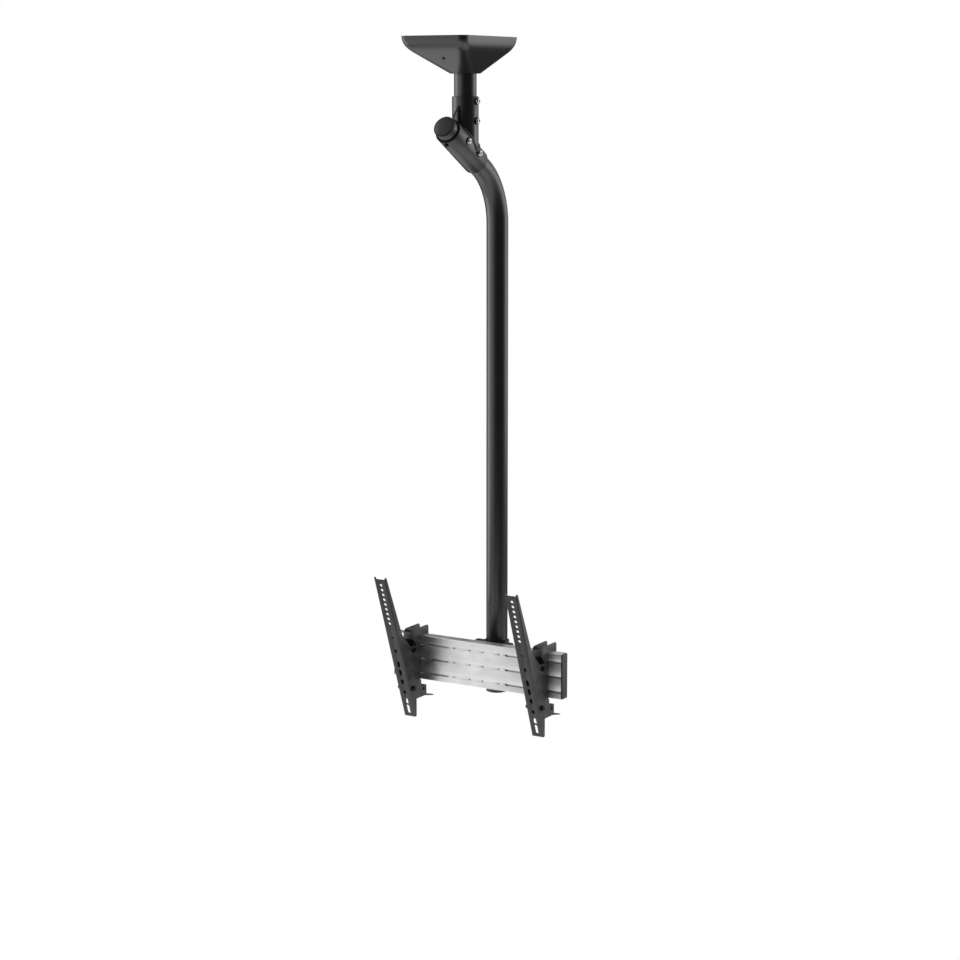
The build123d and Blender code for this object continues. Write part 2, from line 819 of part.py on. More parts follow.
# Latch: a blade that rises into the slot under the rail, with a pull tail
def latch_housing():
    top = rail_bottom - latch_room - housing_gap
    bottom = latch_tab_bottom
    half = plate_inner
    x = (-half, half)
    body = block(x, (rail_front - housing_ahead, latch_front_y), (bottom, top))
    body += block(x, (latch_front_y, latch_tab_rear_y), (bottom, latch_tab_top))
    slot_x = (-latch_half_width - latch_play, latch_half_width + latch_play)
    slot_y = (latch_front_y - latch_play, latch_front_y + latch_blade + latch_play)
    body -= block(slot_x, slot_y, (bottom, top))
    return body - cross_hole(housing_rivet_radius, *housing_rivet)


def cross_hole(radius, y, z):
    return aimed(cutter(radius), (0, y, z), (1, 0, 0))


def housing_rivet_pin():
    half = hanger_width / 2
    pin = Pos(0, 0, -half) * rod(housing_rivet_radius, 2 * half)
    head = rod(*rivet_head)
    pin += Pos(0, 0, half) * head + Pos(0, 0, -half - rivet_head[1]) * head
    return aimed(pin, (0, *housing_rivet), (1, 0, 0))


def latch():
    x = (-latch_half_width, latch_half_width)
    blade_y = (latch_front_y, latch_front_y + latch_blade)
    tail_top = latch_tab_bottom - latch_play
    tail_low = tail_top - latch_tail_sheet
    blade = block(x, blade_y, (tail_low, rail_bottom + latch_bite))
    bend_y = latch_tab_rear_y
    tail = side_prism(
        (
            (latch_front_y, tail_top),
            (bend_y, tail_top),
            (latch_tail_rear_y, tail_top - latch_tail_drop),
            (latch_tail_rear_y, tail_low - latch_tail_drop),
            (bend_y, tail_low),
            (latch_front_y, tail_low),
        ),
        latch_half_width,
    )
    return blade + tail


# Arm: U channel whose flanges carry the pivot; web edges upright at full tilt
def on_arm(down, back):
    """Y and Z of a point given down the arm's front and back from it."""
    tilt = radians(arm_tilt)
    down -= pivot_down_arm
    back -= pivot_behind_arm
    y = pivot_y + down * sin(tilt) + back * cos(tilt)
    return y, pivot_z - down * cos(tilt) + back * sin(tilt)


def arm_place(down, back):
    y, z = on_arm(down, back)
    return Pos(0, y, z) * Rot(arm_tilt, 0, 0)


def arm():
    step_z = stop_z - foot_drop
    top = on_arm(-ear_height, 0)
    bottom = on_arm(arm_length, 0)
    foot_rear_y = bottom[0] + foot_depth
    outline = (
        top,
        on_arm(-ear_height, arm_flange_top - ear_slope),
        on_arm(0, arm_flange_top),
        on_arm(arm_flange_low_at, arm_flange_low),
        (web_edge_y - web_edge_lean, pivot_z + pivot_ear),
        (pivot_y, pivot_z + pivot_ear),
        (pivot_y, pivot_z - pivot_ear),
        (web_edge_y, pivot_z - pivot_ear),
        (web_edge_y, step_z),
        (foot_rear_y, step_z - foot_slope),
        (foot_rear_y, bottom[1] + foot_round / 2),
        bottom,
    )
    plate = side_prism(outline, arm_width / 2)
    ear = Pos(0, 0, -arm_width / 2) * rod(pivot_ear, arm_width)
    plate += aimed(ear, (0, pivot_y, pivot_z), (1, 0, 0))
    half = arm_width / 2
    middle = ((top[0] + bottom[0]) / 2, (top[1] + bottom[1]) / 2)
    bends = [plate.edges().sort_by_distance((x, *middle))[0] for x in (-half, half)]
    plate = fillet(bends, arm_bend)
    plate = rounded(plate, ear_round, outline[1])
    plate = rounded(plate, foot_round, outline[9])
    inner = half - arm_sheet
    hollow = block((-inner, inner), (arm_sheet, cut_through), (-2 * arm_length, arm_length))
    notch = block((-inner, inner), (-arm_sheet, cut_through), (0, arm_length))
    for cut in (hollow, notch):
        plate -= arm_place(0, 0) * cut
    for index in range(arm_hole_count):
        plate -= arm_hole(arm_hole_first + index * arm_hole_pitch)
    plate -= arm_hole(arm_lone_hole_at)
    for at_down, length in arm_slots:
        outline = SlotOverall(length, 2 * arm_hole_radius, 90)
        slot = Rot(90, 0, 0) * extrude(outline, 2 * arm_sheet, both=True)
        plate -= arm_place(at_down, 0) * slot
    return plate - cross_hole(pivot_radius + pivot_play, pivot_y, pivot_z)


def arm_hole(down):
    hole = Pos(0, 0, -2 * arm_sheet) * rod(arm_hole_radius, 4 * arm_sheet)
    return arm_place(down, 0) * Rot(90, 0, 0) * hole


single = {
    "ceiling_plate": ceiling_plate,
    "stub_tube": stub_tube,
    "stub_ribs": stub_ribs,
    "cover": cover,
    "cover_tabs": cover_tabs,
    "cover_screws": cover_screws,
    "coupling": coupling,
    "stub_clamp_screws": stub_screws,
    "pole_clamp_screws": pole_screws,
    "screw_washers": screw_washers,
    "lock_screw": lock_screw,
    "mouth_ring": mouth_ring,
    "bent_pole": bent_pole,
    "pole_top_plug": pole_top_plug,
    "pole_bottom_plug": pole_bottom_plug,
    "clamp_bracket": clamp_bracket,
    "clamp_strap": clamp_strap,
    "clamp_bolts": clamp_bolts,
    "clamp_nuts": clamp_nuts,
    "rail_bolts": rail_bolts,
    "rail": rail,
    "strip_screws": strip_screws,
}
for name, make in single.items():
    save(make(), name)

save(rail_end_cap(-1), "rail_end_cap_left")
save(rail_end_cap(1), "rail_end_cap_right")
for name, z in zip(("top", "middle", "bottom"), groove_z):
    save(groove_strip(z), f"groove_strip_{name}")

paired = {
    "hanger": hanger,
    "pivot_bolt": pivot_bolt,
    "stop_bolt": stop_bolt,
    "latch_housing": latch_housing,
    "latch_rivet": housing_rivet_pin,
    "latch": latch,
    "arm": arm,
}
for name, make in paired.items():
    shape = make()
    for side, x in (("left", -hanger_x), ("right", hanger_x)):
        save(Pos(x + hangers_off_centre, 0, 0) * shape, f"{name}_{side}")
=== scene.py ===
import bmesh
import bpy
from math import cos, pi, radians, sin, sqrt, tan
from mathutils import Matrix, Vector


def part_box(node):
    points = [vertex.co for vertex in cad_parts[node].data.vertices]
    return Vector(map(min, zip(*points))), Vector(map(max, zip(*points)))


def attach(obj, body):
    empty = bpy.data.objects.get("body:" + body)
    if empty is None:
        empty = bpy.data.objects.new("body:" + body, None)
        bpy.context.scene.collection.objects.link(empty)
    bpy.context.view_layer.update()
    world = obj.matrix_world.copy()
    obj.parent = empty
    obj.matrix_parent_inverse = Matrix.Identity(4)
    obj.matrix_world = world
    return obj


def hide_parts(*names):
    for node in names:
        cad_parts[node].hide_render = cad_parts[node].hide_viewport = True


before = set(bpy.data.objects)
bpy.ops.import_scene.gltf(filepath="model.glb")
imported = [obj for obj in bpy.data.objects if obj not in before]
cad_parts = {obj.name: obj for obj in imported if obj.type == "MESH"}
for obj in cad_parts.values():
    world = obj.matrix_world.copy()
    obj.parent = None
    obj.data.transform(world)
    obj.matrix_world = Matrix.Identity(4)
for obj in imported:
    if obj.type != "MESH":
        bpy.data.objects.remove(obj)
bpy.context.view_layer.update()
mm = 0.001
xAxis, zAxis = Vector((1, 0, 0)), Vector((0, 0, 1))
samePoint = 0.002 * mm  # points this close are merged
sameHeight = 0.01 * mm  # points this close to a height lie on it
flatWithin = 0.6  # degrees, below which neighbouring faces are one


# Selecting and finishing
def deselectAll():
    if bpy.context.object and bpy.context.object.mode == "EDIT":
        bpy.ops.object.mode_set(mode="OBJECT")
    bpy.ops.object.select_all(action="DESELECT")


def makeActive(piece):
    deselectAll()
    piece.select_set(True)
    bpy.context.view_layer.objects.active = piece


def newPiece(name):
    piece = bpy.context.active_object
    piece.name = name
    piece.data.name = name
    return piece


def settle():
    # Place, turn and scale go into the mesh
    bpy.ops.object.transform_apply(location=True, rotation=True, scale=True)


def pick(piece, kind, test):
    # Select the points or edges that pass a test
    bpy.ops.mesh.select_mode(type=kind)
    bpy.ops.mesh.select_all(action="DESELECT")
    shape = bmesh.from_edit_mesh(piece.data)
    for item in {"VERT": shape.verts, "EDGE": shape.edges}[kind]:
        if test(item):
            item.select_set(True)
    shape.select_flush_mode()
    bmesh.update_edit_mesh(piece.data)


def mergeAll():
    bpy.ops.mesh.select_all(action="SELECT")
    bpy.ops.mesh.remove_doubles(threshold=samePoint)


def fixNormals():
    mergeAll()
    bpy.ops.mesh.normals_make_consistent(inside=False)


def applyModifier(piece, kind, **values):
    makeActive(piece)
    modifier = piece.modifiers.new(kind.title(), kind)
    for name, value in values.items():
        setattr(modifier, name, value)
    bpy.ops.object.modifier_apply(modifier=modifier.name)


def smooth(piece, angle=32):
    makeActive(piece)
    bpy.ops.object.shade_smooth_by_angle(angle=radians(angle))


def soften(piece, width, steps=2, overAngle=30):
    # Round the edges that turn by more than an angle
    applyModifier(
        piece, "BEVEL", width=width, segments=steps, limit_method="ANGLE",
        angle_limit=radians(overAngle), use_clamp_overlap=True,
    )
    smooth(piece)


def combine(piece, tool, how):
    applyModifier(piece, "BOOLEAN", object=tool, operation=how, solver="EXACT")
    bpy.data.objects.remove(tool)


def joined(name, pieces):
    deselectAll()
    for piece in pieces:
        piece.select_set(True)
    bpy.context.view_layer.objects.active = pieces[0]
    bpy.ops.object.join()
    return newPiece(name)


def aim(piece, place, direction, roll=0):
    # Carry a piece modelled along +Z to a place and a direction
    makeActive(piece)
    turn = Vector(direction).to_track_quat("Z", "Y").to_matrix().to_4x4()
    piece.matrix_world = Matrix.Translation(place) @ turn @ Matrix.Rotation(roll, 4, "Z")
    settle()
    return piece


def copied(piece, name):
    makeActive(piece)
    bpy.ops.object.duplicate(linked=False)
    return newPiece(name)


def dress(piece, material, body, slot, *nodes):
    piece.data.materials.clear()
    piece.data.materials.append(material)
    for face in piece.data.polygons:
        face.material_index = 0
    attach(piece, body)
    if nodes:
        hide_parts(*nodes)
    return piece


def traced(name, points):
    # A line of edges through the points, left open for editing
    deselectAll()
    bpy.ops.mesh.primitive_plane_add(size=mm, location=(0, 0, 0))
    piece = newPiece(name)
    bpy.ops.object.mode_set(mode="EDIT")
    bpy.ops.mesh.select_all(action="SELECT")
    bpy.ops.mesh.merge(type="CENTER")
    bpy.ops.transform.translate(value=points[0])
    for here, after in zip(points, points[1:]):
        step = [end - start for start, end in zip(here, after)]
        bpy.ops.mesh.extrude_region_move(TRANSFORM_OT_translate={"value": step})
    return piece


def turned(name, profile, sides):
    # A profile of (radius, height) points, spun round Z
    piece = traced(name, [(radius, 0, height) for radius, height in profile])
    bpy.ops.mesh.select_all(action="SELECT")
    bpy.ops.mesh.spin(steps=sides, angle=2 * pi, center=(0, 0, 0), axis=(0, 0, 1))
    fixNormals()
    bpy.ops.object.mode_set(mode="OBJECT")
    return piece


def nodeCopy(node, name):
    # Merged copy of a node, its flat faces made whole again
    piece = bpy.data.objects.new(name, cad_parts[node].data.copy())
    bpy.context.scene.collection.objects.link(piece)
    makeActive(piece)
    bpy.ops.mesh.customdata_custom_splitnormals_clear()
    bpy.ops.object.mode_set(mode="EDIT")
    mergeAll()
    bpy.ops.mesh.dissolve_limited(angle_limit=radians(flatWithin))
    bpy.ops.object.mode_set(mode="OBJECT")
    return piece


# Finishes
noiseRange = (0.3, 0.7)  # where most of a noise pattern lies
coat = {"clouds": 14, "dark": 0.82, "light": 1.18, "blue": 1.02, "glossier": 0.04, "duller": 0.05}
metal = {"clouds": 25, "glossier": 0.06, "duller": 0.08, "specular": 0.5}
plastic = {"clouds": 60, "dark": 0.8, "light": 1.15, "glossier": 0.05, "duller": 0.06}


def startMaterial(name, shade, roughness, metallic, specular):
    material = bpy.data.materials.new(name)
    material.use_nodes = True
    nodes, links = material.node_tree.nodes, material.node_tree.links
    shader = nodes["Principled BSDF"]
    shader.inputs["Base Color"].default_value = (*shade, 1)
    shader.inputs["Roughness"].default_value = roughness
    shader.inputs["Metallic"].default_value = metallic
    shader.inputs["Specular IOR Level"].default_value = specular
    place = nodes.new("ShaderNodeTexCoord").outputs["Object"]
    return material, nodes, links, shader, place


def noiseAt(nodes, links, place, scale, detail=3, stretch=(1, 1, 1)):
    mapping = nodes.new("ShaderNodeMapping")
    mapping.inputs["Scale"].default_value = stretch
    noise = nodes.new("ShaderNodeTexNoise")
    noise.inputs["Scale"].default_value = scale
    noise.inputs["Detail"].default_value = detail
    links.new(place, mapping.inputs["Vector"])
    links.new(mapping.outputs["Vector"], noise.inputs["Vector"])
    return noise.outputs["Fac"]


def tint(nodes, links, shader, pattern, dark, light):
    ramp = nodes.new("ShaderNodeValToRGB")
    for stop, position, colour in zip(ramp.color_ramp.elements, noiseRange, (dark, light)):
        stop.position = position
        stop.color = (*colour, 1)
    links.new(pattern, ramp.inputs["Fac"])
    links.new(ramp.outputs["Color"], shader.inputs["Base Color"])


def varyGloss(nodes, links, shader, pattern, roughness, change):
    band = nodes.new("ShaderNodeMapRange")
    band.inputs["From Min"].default_value = noiseRange[0]
    band.inputs["From Max"].default_value = noiseRange[1]
    band.inputs["To Min"].default_value = roughness - change["glossier"]
    band.inputs["To Max"].default_value = roughness + change["duller"]
    links.new(pattern, band.inputs["Value"])
    links.new(band.outputs["Result"], shader.inputs["Roughness"])


def addBump(nodes, links, shader, pattern, depth, under=None):
    bump = nodes.new("ShaderNodeBump")
    bump.inputs["Distance"].default_value = depth
    bump.inputs["Strength"].default_value = 1
    links.new(pattern, bump.inputs["Height"])
    if under:
        links.new(under.outputs["Normal"], bump.inputs["Normal"])
    links.new(bump.outputs["Normal"], shader.inputs["Normal"])
    return bump


def powderCoat(name, look):
    # Fine orange peel over a grain, cured paint that varies a little in gloss
    dark, light = look["shade"] * coat["dark"], look["shade"] * coat["light"]
    material, nodes, links, shader, place = startMaterial(
        name, (look["shade"],) * 3, look["roughness"], 0, look["specular"])
    peel = noiseAt(nodes, links, place, look["peel"], detail=2)
    grain = noiseAt(nodes, links, place, look["grain"], detail=4)
    clouds = noiseAt(nodes, links, place, coat["clouds"])
    tint(nodes, links, shader, clouds, (dark,) * 3, (light, light, light * coat["blue"]))
    varyGloss(nodes, links, shader, grain, look["roughness"], coat)
    first = addBump(nodes, links, shader, peel, look["peelDepth"])
    addBump(nodes, links, shader, grain, look["grainDepth"], first)
    return material


def brushedMetal(name, look):
    # Lines along one direction, with a slow change of gloss
    dark = [channel * look["dark"] for channel in look["shade"]]
    material, nodes, links, shader, place = startMaterial(
        name, look["shade"], look["roughness"], 1, metal["specular"])
    lines = noiseAt(nodes, links, place, look["lines"], detail=4, stretch=look["stretch"])
    clouds = noiseAt(nodes, links, place, metal["clouds"])
    tint(nodes, links, shader, lines, dark, look["shade"])
    varyGloss(nodes, links, shader, clouds, look["roughness"], metal)
    addBump(nodes, links, shader, lines, look["depth"])
    return material


def grainedPlastic(name, look):
    # Small moulded cells under a slow change of tone and gloss
    dark = [channel * plastic["dark"] for channel in look["shade"]]
    light = [channel * plastic["light"] for channel in look["shade"]]
    material, nodes, links, shader, place = startMaterial(
        name, look["shade"], look["roughness"], 0, look["specular"])
    cells = nodes.new("ShaderNodeTexVoronoi")
    cells.inputs["Scale"].default_value = look["grain"]
    links.new(place, cells.inputs["Vector"])
    clouds = noiseAt(nodes, links, place, plastic["clouds"])
    tint(nodes, links, shader, clouds, dark, light)
    varyGloss(nodes, links, shader, clouds, look["roughness"], plastic)
    addBump(nodes, links, shader, cells.outputs["Distance"], look["depth"])
    return material


tubeLook = {"shade": 0.009, "roughness": 0.33, "specular": 1.0, "peel": 420, "grain": 2600,
            "peelDepth": 0.010 * mm, "grainDepth": 0.004 * mm}
coverLook = {"shade": 0.014, "roughness": 0.31, "specular": 0.85, "peel": 380, "grain": 2400,
             "peelDepth": 0.010 * mm, "grainDepth": 0.004 * mm}
# Weld bead: the same black coat as the tubes, but its base shade is set lighter as a painted highlight
# along the bead
weldHighlightLook = {"shade": 0.04, "roughness": 0.3, "specular": 0.9, "peel": 500, "grain": 2400,
            "peelDepth": 0.008 * mm, "grainDepth": 0.003 * mm}
armLook = {"shade": 0.055, "roughness": 0.44, "specular": 0.45, "peel": 700, "grain": 3000,
           "peelDepth": 0.014 * mm, "grainDepth": 0.006 * mm}
railLook = {"shade": (0.90, 0.905, 0.91), "dark": 0.93, "roughness": 0.38, "lines": 900,
            "stretch": (0.012, 1, 1), "depth": 0.004 * mm}
steelLook = {"shade": (0.62, 0.62, 0.615), "dark": 0.9, "roughness": 0.17, "lines": 1500,
             "stretch": (1, 1, 1), "depth": 0.001 * mm}
blackScrewLook = {"shade": (0.035, 0.035, 0.037), "dark": 0.7, "roughness": 0.34, "lines": 1300,
                  "stretch": (1, 1, 1), "depth": 0.004 * mm}
rubberLook = {"shade": (0.006, 0.006, 0.006), "roughness": 0.7, "specular": 0.3, "grain": 1800,
              "depth": 0.02 * mm}
plugLook = {"shade": (0.026, 0.026, 0.027), "roughness": 0.36, "specular": 0.5, "grain": 1500,
            "depth": 0.012 * mm}
capLook = {"shade": (0.045, 0.046, 0.049), "roughness": 0.42, "specular": 0.5, "grain": 1300,
           "depth": 0.015 * mm}
housingLook = {"shade": (0.014, 0.014, 0.015), "roughness": 0.46, "specular": 0.5, "grain": 1100,
               "depth": 0.02 * mm}

tubeCoat = powderCoat("tubeCoat", tubeLook)
coverCoat = powderCoat("coverCoat", coverLook)
weldHighlightCoat = powderCoat("weldHighlightCoat", weldHighlightLook)
armCoat = powderCoat("armCoat", armLook)
railSilver = brushedMetal("railSilver", railLook)
brightSteel = brushedMetal("brightSteel", steelLook)
blackScrew = brushedMetal("blackScrew", blackScrewLook)
sealRubber = grainedPlastic("sealRubber", rubberLook)
plugPlastic = grainedPlastic("plugPlastic", plugLook)
capPlastic = grainedPlastic("capPlastic", capLook)
housingPlastic = grainedPlastic("housingPlastic", housingLook)
print("finishes made")


# Tube sizes, and the sloping axis that the lower sleeve and the pole's head share
pipe = {"radius": 30 * mm, "wall": 2.5 * mm, "sleeve": 35.3 * mm, "bore": 30.3 * mm,
        "edge": 0.5 * mm, "sides": 128, "stubSides": 96}
slope = {"angle": 60, "headY": -109.8 * mm, "headZ": -232.7 * mm}
lean = radians(slope["angle"])
slopeDir = Vector((0, sin(lean), -cos(lean)))
slopeDown = Vector((0, -cos(lean), -sin(lean)))
poleHead = Vector((0, slope["headY"], slope["headZ"]))


def onSlope(distance):
    return poleHead + slopeDir * distance


# Cover: rim, upright wall, round crease, slopes and outlet ring
coverValues = {
    "width": 201 * mm, "corner": 22 * mm, "draft": 3 * mm, "crease": 27 * mm, "wall": 2.2 * mm,
    "bendUp": 0.7, "bendDown": 0.24, "bendSteps": 12, "outlet": 40 * mm, "hole": pipe["bore"],
    "cornerSteps": 20, "cornerGap": 0.2 * mm, "lip": 1.4 * mm, "edgeOver": 24,
}


def roundedLoop(width, length, corner, centreY, z, steps):
    deselectAll()
    bpy.ops.mesh.primitive_plane_add(size=1, location=(0, centreY, z))
    piece = newPiece("loop")
    piece.scale = (width, length, 1)
    settle()
    bpy.ops.object.mode_set(mode="EDIT")
    bpy.ops.mesh.select_all(action="SELECT")
    bpy.ops.mesh.bevel(affect="VERTICES", offset=corner, segments=steps, profile=0.5)
    bpy.ops.mesh.select_all(action="SELECT")
    bpy.ops.mesh.delete(type="ONLY_FACE")
    bpy.ops.object.mode_set(mode="OBJECT")
    return piece


def coverLoop(rimShare, outletShare, radius=coverValues["outlet"]):
    # A loop shared out between the rim, the outlet and, with the rest of 1, the crease
    values = coverValues
    low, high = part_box("cover")
    creaseShare = 1 - rimShare - outletShare
    kept = rimShare + creaseShare
    draft = values["draft"] * creaseShare
    halfWidth = values["width"] / 2 * kept - draft + radius * outletShare
    front = -low.y * kept - draft + radius * outletShare
    back = high.y * kept - draft + radius * outletShare
    corner = values["corner"] * kept + (radius - values["cornerGap"]) * outletShare
    z = -values["crease"] * creaseShare + low.z * outletShare
    middle = (back - front) / 2
    return roundedLoop(2 * halfWidth, front + back, corner, middle, z, values["cornerSteps"])


def makeCover():
    values = coverValues
    loops = [coverLoop(1, 0)]
    for step in range(values["bendSteps"] + 1):
        passed = step / values["bendSteps"]
        loops.append(coverLoop((1 - passed) ** 2 * values["bendUp"], passed ** 2 * values["bendDown"]))
    loops.append(coverLoop(0, 1))
    loops.append(coverLoop(0, 1, values["hole"]))
    # Each loop is bridged to the one before
    cover = loops[0]
    for loop in loops[1:]:
        before = len(cover.data.vertices)
        perLoop = len(loop.data.vertices)
        cover = joined("cover_shell", [cover, loop])
        bpy.ops.object.mode_set(mode="EDIT")
        shape = bmesh.from_edit_mesh(cover.data)
        shape.verts.ensure_lookup_table()
        newest = set(shape.verts[before - perLoop:before + perLoop])
        pick(cover, "EDGE", lambda edge: newest.issuperset(edge.verts))
        bpy.ops.mesh.bridge_edge_loops(type="SINGLE")
        bpy.ops.object.mode_set(mode="OBJECT")
    bpy.ops.object.mode_set(mode="EDIT")
    fixNormals()
    bpy.ops.object.mode_set(mode="OBJECT")
    applyModifier(cover, "SOLIDIFY", thickness=values["wall"], offset=-1, use_even_offset=True)
    # The rim is pressed flat against the ceiling
    bpy.ops.object.mode_set(mode="EDIT")
    pick(cover, "VERT", lambda point: point.co.z > -values["lip"])
    bpy.ops.transform.resize(value=(1, 1, 0), center_override=(0, 0, 0))
    bpy.ops.object.mode_set(mode="OBJECT")
    soften(cover, values["lip"] / 2, steps=3, overAngle=values["edgeOver"])
    return dress(cover, coverCoat, "ceiling_fixing", "cover_black", "cover")


makeCover()
print("cover made")


# Tubes: a circle drawn out along the tube's line, then given its wall
def openCircle(name, sides, place, direction):
    deselectAll()
    bpy.ops.mesh.primitive_circle_add(vertices=sides, radius=pipe["radius"], fill_type="NOTHING")
    piece = aim(newPiece(name), place, direction)
    bpy.ops.object.mode_set(mode="EDIT")
    bpy.ops.mesh.select_all(action="SELECT")
    return piece


def giveWall(piece):
    fixNormals()
    bpy.ops.object.mode_set(mode="OBJECT")
    applyModifier(piece, "SOLIDIFY", thickness=pipe["wall"], offset=-1, use_even_offset=True)
    soften(piece, pipe["edge"])


def stubTube():
    low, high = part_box("stub_tube")
    stub = openCircle("stub", pipe["stubSides"], (0, 0, high.z), zAxis)
    bpy.ops.mesh.extrude_region_move(TRANSFORM_OT_translate={"value": (0, 0, low.z - high.z)})
    giveWall(stub)
    return dress(stub, tubeCoat, "ceiling_fixing", "black_coat", "stub_tube")


bend = {"radius": 180 * mm, "poleY": 172 * mm, "plugFlange": 3.5 * mm, "steps": 40}


def bentPole():
    # Along the slope, round the bend, then straight down to the foot
    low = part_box("bent_pole")[0]
    start = onSlope(bend["plugFlange"])
    tangent = bend["radius"] * tan(lean / 2)
    cornerZ = slope["headZ"] - (bend["poleY"] - slope["headY"]) / tan(lean)
    corner = Vector((0, bend["poleY"], cornerZ))
    bendStart = corner - slopeDir * tangent
    centre = Vector((0, bend["poleY"] - bend["radius"], cornerZ - tangent))
    pole = openCircle("pole", pipe["sides"], start, slopeDir)
    bpy.ops.mesh.extrude_region_move(TRANSFORM_OT_translate={"value": bendStart - start})
    bpy.ops.mesh.spin(steps=bend["steps"], angle=lean, center=centre, axis=(1, 0, 0))
    pick(pole, "VERT", lambda point: abs(point.co.z - centre.z) < sameHeight)
    bpy.ops.mesh.extrude_region_move(TRANSFORM_OT_translate={"value": (0, 0, low.z - centre.z)})
    giveWall(pole)
    return dress(pole, tubeCoat, "swivel", "black_coat", "bent_pole")


stubTube()
bentPole()
print("tubes made")


# Plugs: rim, groove, low dome and a spigot inside the tube
plug = {"flange": bend["plugFlange"], "dome": 4.5 * mm, "spigot": 16 * mm, "wall": 2.5 * mm,
        "hollow": 0.5 * mm, "steps": 14, "sides": 96, "round": 0.5 * mm, "edgeOver": 40,
        "lip": 1.4 * mm, "groove": 2.0 * mm, "grooveDeep": 1.8 * mm}


def domeHeight(radius):
    # Height of a shallow ball over the flange's foot
    ball = (pipe["radius"] ** 2 + plug["dome"] ** 2) / (2 * plug["dome"])
    return sqrt(ball ** 2 - radius ** 2) - ball + plug["dome"] + plug["flange"]


def domedPlug(name):
    outer, bore = pipe["radius"], pipe["radius"] - pipe["wall"]
    spigotBore = bore - plug["wall"]
    lip = outer - plug["lip"]
    inner = lip - plug["groove"]
    grooveFloor = plug["flange"] - plug["grooveDeep"]
    underside = plug["flange"] - plug["wall"] - plug["hollow"]
    profile = [
        (spigotBore, -plug["spigot"]), (bore, -plug["spigot"]), (bore, 0), (outer, 0),
        (outer, plug["flange"]), (lip, plug["flange"]), (lip, grooveFloor), (inner, grooveFloor),
    ]
    for step in range(plug["steps"] + 1):
        radius = inner * (1 - step / plug["steps"])
        profile.append((radius, domeHeight(radius)))
    profile += [(0, underside), (spigotBore, underside), profile[0]]
    piece = turned(name, profile, plug["sides"])
    soften(piece, plug["round"], steps=3, overAngle=plug["edgeOver"])
    return piece


topPlug = aim(domedPlug("pole_top_cap"), onSlope(plug["flange"]), -slopeDir)
dress(topPlug, plugPlastic, "swivel", "plug_black", "pole_top_plug")
poleFoot = Vector((0, bend["poleY"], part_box("bent_pole")[0].z))
footPlug = aim(domedPlug("pole_foot_cap"), poleFoot, -zAxis)
dress(footPlug, plugPlastic, "swivel", "plug_black", "pole_bottom_plug")
print("plugs made")


# Coupling: two sleeves and a web, welded together
coupling = {"top": -154.5 * mm, "mouth": 24 * mm, "length": 166 * mm, "edge": 0.7 * mm,
            "overrun": 20 * mm, "boreDepth": 40 * mm, "smoothTo": 28,
            "webHalf": 3 * mm, "webTop": -178 * mm, "webFoot": 32 * mm, "webLift": 1 * mm,
            "webSunk": 3 * mm, "webEdge": 0.5 * mm}
bead = {"radius": 4.2 * mm, "step": 2.4 * mm, "lift": 0.3 * mm, "flat": 0.8, "sides": 12, "rings": 8,
        "smoothTo": 60}


def bar(name, radius, start, end):
    # A closed bar between two points
    start, end = Vector(start), Vector(end)
    deselectAll()
    bpy.ops.mesh.primitive_cylinder_add(
        vertices=pipe["sides"], radius=radius, depth=(end - start).length)
    return aim(newPiece(name), (start + end) / 2, end - start)


def slopeTopZ(y, radius):
    # Height of the slanted sleeve's upper line
    axisZ = slope["headZ"] - (y - slope["headY"]) / tan(lean)
    return axisZ + radius / sin(lean)


def makeWeb():
    # A plate between the sleeves, drawn in outline and given its thickness
    outer, half = pipe["sleeve"], coupling["webHalf"]
    top, lift, sunk = coupling["webTop"], coupling["webLift"], coupling["webSunk"]
    rootY, footY = -outer + sunk, -outer - coupling["webFoot"]
    rootZ, footZ = slopeTopZ(rootY, outer), slopeTopZ(footY, outer)
    outline = [(rootY, top), (-outer - lift, top), (footY, footZ + lift), (footY, footZ - sunk),
               (rootY, rootZ - sunk)]
    web = traced("web", [(-half, y, z) for y, z in outline + outline[:1]])
    mergeAll()
    bpy.ops.mesh.edge_face_add()
    bpy.ops.mesh.extrude_region_move(TRANSFORM_OT_translate={"value": (2 * half, 0, 0)})
    fixNormals()
    bpy.ops.object.mode_set(mode="OBJECT")
    soften(web, coupling["webEdge"])
    return web


def makeCoupling():
    top, overrun = coupling["top"], coupling["overrun"]
    crossingZ = slope["headZ"] + slope["headY"] / tan(lean)
    mouth, tail = coupling["mouth"], coupling["mouth"] + coupling["length"]
    body = bar("coupling_body", pipe["sleeve"], (0, 0, crossingZ), (0, 0, top))
    soften(body, coupling["edge"])
    slanted = bar("slanted", pipe["sleeve"], onSlope(mouth), onSlope(tail))
    soften(slanted, coupling["edge"])
    combine(body, slanted, "UNION")
    combine(body, makeWeb(), "UNION")
    boreFoot = (0, 0, crossingZ + coupling["boreDepth"])
    combine(body, bar("bore", pipe["bore"], boreFoot, (0, 0, top + overrun)), "DIFFERENCE")
    slantedBore = bar("bore", pipe["bore"], onSlope(mouth - overrun), onSlope(tail + overrun))
    combine(body, slantedBore, "DIFFERENCE")
    smooth(body, angle=coupling["smoothTo"])
    return dress(body, tubeCoat, "swivel", "black_coat", "coupling")


def weldBead(name, points):
    # A row of overlapping drops of metal, each laid on the one before
    drops = []
    deselectAll()
    bpy.ops.mesh.primitive_uv_sphere_add(
        segments=bead["sides"], ring_count=bead["rings"], radius=bead["radius"])
    drop = newPiece("drop")
    for here, after in zip(points, points[1:]):
        one = copied(drop, "drop")
        one.scale = (1, 1, bead["flat"])
        settle()
        drops.append(aim(one, here, after - here))
    bpy.data.objects.remove(drop)
    seam = joined(name, drops)
    smooth(seam, angle=bead["smoothTo"])
    # The bead's lighter coat is a painted highlight, not a different paint
    return dress(seam, weldHighlightCoat, "swivel", "black_coat")


